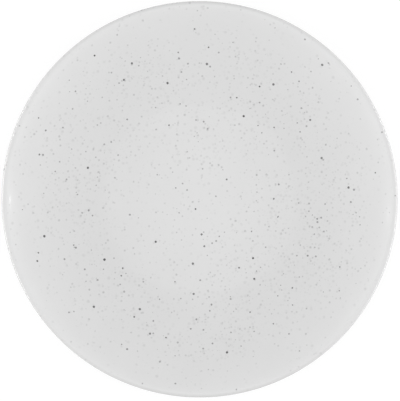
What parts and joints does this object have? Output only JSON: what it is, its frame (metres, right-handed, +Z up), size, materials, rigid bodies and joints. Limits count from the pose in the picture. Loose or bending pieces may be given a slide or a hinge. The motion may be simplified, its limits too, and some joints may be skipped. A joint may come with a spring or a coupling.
{
  "type": "soup plate",
  "caption": "Round rimless soup plate with a flat-floored well, a curved wall, a rolled lip and a bare foot ring, in pale glossy stoneware glaze with fine dark specks.",
  "frame": {"origin": "on the table under the middle of the plate, at the centre of the foot ring's bearing face", "axes": "+Z up along the plate's axis of revolution; X and Y lie in the table and are alike"},
  "size_m": [0.22, 0.22, 0.035],
  "materials": {
    "clay": "bare fired stoneware, matt and slightly grainy",
    "face_glaze": "glossy off-white glaze with fine dark iron specks",
    "outer_glaze": "the same glaze a little thinner, glossy, with the same specks"
  },
  "bodies": {
    "root": {"stoneware_body": "clay", "foot_ring": "clay", "face_glaze": "face_glaze", "flank_glaze": "outer_glaze", "base_glaze": "outer_glaze"}
  },
  "joints": []
}
